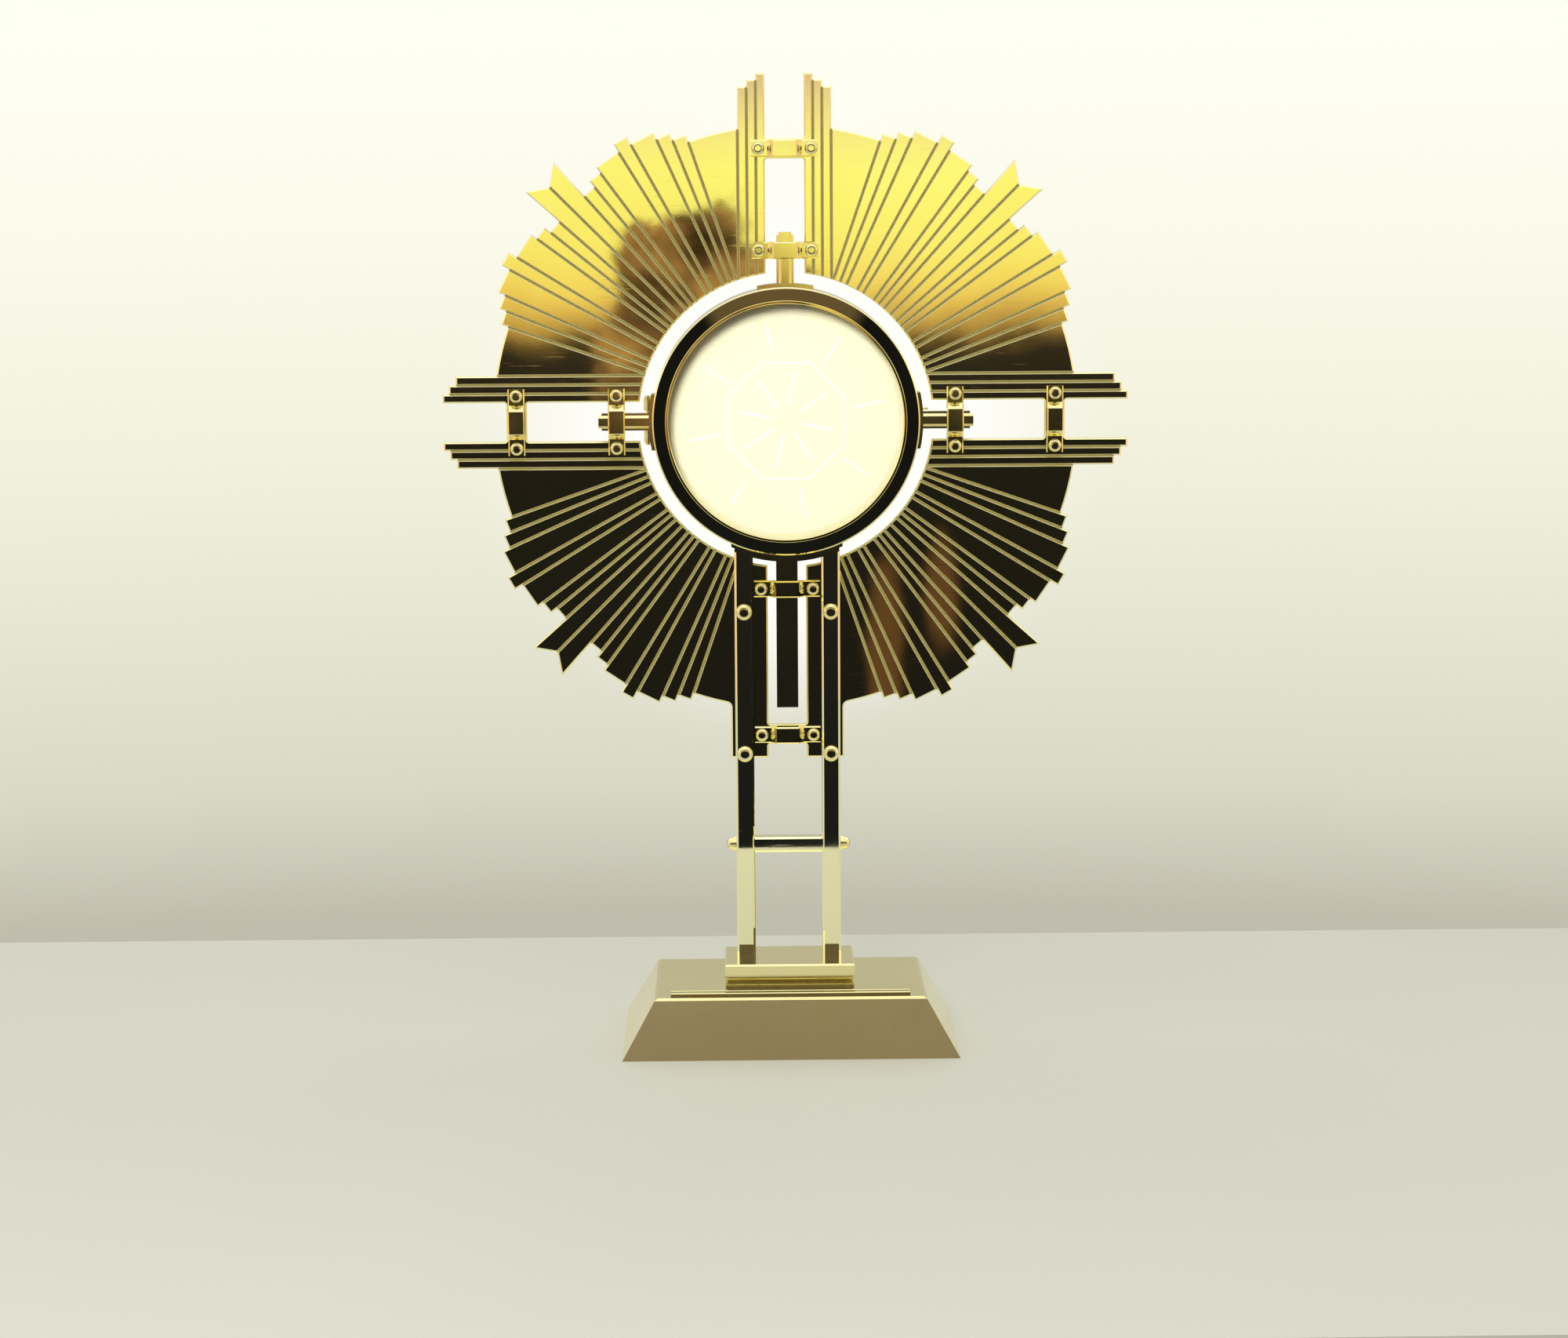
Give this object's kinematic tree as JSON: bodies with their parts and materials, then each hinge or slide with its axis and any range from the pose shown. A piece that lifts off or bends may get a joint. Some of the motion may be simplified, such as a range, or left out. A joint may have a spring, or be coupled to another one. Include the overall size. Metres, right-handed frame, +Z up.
{
  "type": "monstrance",
  "caption": "Free-standing monstrance: tapered base, twin posts, sunburst glory with slotted arms, and a round glazed capsule with a hinged rear door that holds a host.",
  "frame": {"origin": "centre of the base's footprint, on the surface it stands on", "axes": "+Z up, -Y towards the viewer of the glory's front, +X to that viewer's right"},
  "size_m": [0.425, 0.1284, 0.6],
  "materials": {
    "gold_plate": "polished gold plate with fine hairline scratches",
    "bare_brass": "brushed, unplated",
    "steel_hardware": "plain machine finish",
    "clear_glass": "clear and polished",
    "black_seal": "matte",
    "green_felt": "pressed felt",
    "host_bread": "matte unleavened bread"
  },
  "bodies": {
    "stand": {"base_felt": "green_felt", "base_floor": "bare_brass", "base_floor_screws": "steel_hardware", "base_shell": "gold_plate", "bracket_bottom_inner": "gold_plate", "bracket_bottom_outer": "gold_plate", "bracket_left_inner": "gold_plate", "bracket_left_outer": "gold_plate", "bracket_right_inner": "gold_plate", "bracket_right_outer": "gold_plate", "bracket_screws_bottom": "gold_plate", "bracket_screws_left": "gold_plate", "bracket_screws_right": "gold_plate", "bracket_screws_top": "gold_plate", "bracket_top_inner": "gold_plate", "bracket_top_outer": "gold_plate", "capsule_body": "gold_plate", "crossbar": "gold_plate", "front_bezel": "gold_plate", "front_glass": "clear_glass", "glass_retainer": "gold_plate", "glass_seal": "black_seal", "glory_plate": "gold_plate", "hinge_lugs": "gold_plate", "hinge_pin": "gold_plate", "latch_pivot": "gold_plate", "plinth_slab": "gold_plate", "plinth_step": "gold_plate", "post_left": "gold_plate", "post_nuts": "gold_plate", "post_right": "gold_plate", "post_screws": "gold_plate", "post_stud_nuts": "steel_hardware", "post_studs": "steel_hardware", "saddle_bottom_inner": "gold_plate", "saddle_bottom_outer": "gold_plate", "saddle_left": "gold_plate", "saddle_right": "gold_plate", "saddle_top": "gold_plate", "support_bar_bottom": "gold_plate", "support_pin_left": "gold_plate", "support_pin_right": "gold_plate", "support_pin_top": "gold_plate", "tie_rod": "steel_hardware", "tie_rod_nuts": "gold_plate", "trim_bars": "gold_plate"},
    "door": {"door_ring": "gold_plate", "door_glass": "clear_glass", "door_glass_ring": "gold_plate", "door_hinge_lugs": "gold_plate", "door_stud": "gold_plate"},
    "latch": {"latch_hook": "gold_plate"},
    "lunette": {"luna_case": "gold_plate", "luna_glass_front": "clear_glass", "host": "host_bread", "luna_glass_rear": "clear_glass", "luna_clip_ring": "gold_plate"}
  },
  "joints": [
    {"name": "door_hinge", "type": "hinge", "parent": "stand", "child": "door", "pos_m": [-0.0857, 0.0242, 0.3875], "axis": [0, 0, 1], "range_deg": [0, 120]},
    {"name": "latch_turn", "type": "hinge", "parent": "stand", "child": "latch", "pos_m": [0.0838, 0.022, 0.3935], "axis": [1, 0, 0], "range_deg": [0, 90]},
    {"name": "lunette_slide", "type": "slide", "parent": "stand", "child": "lunette", "axis": [0, 1, 0], "range_m": [0, 0.005]}
  ]
}
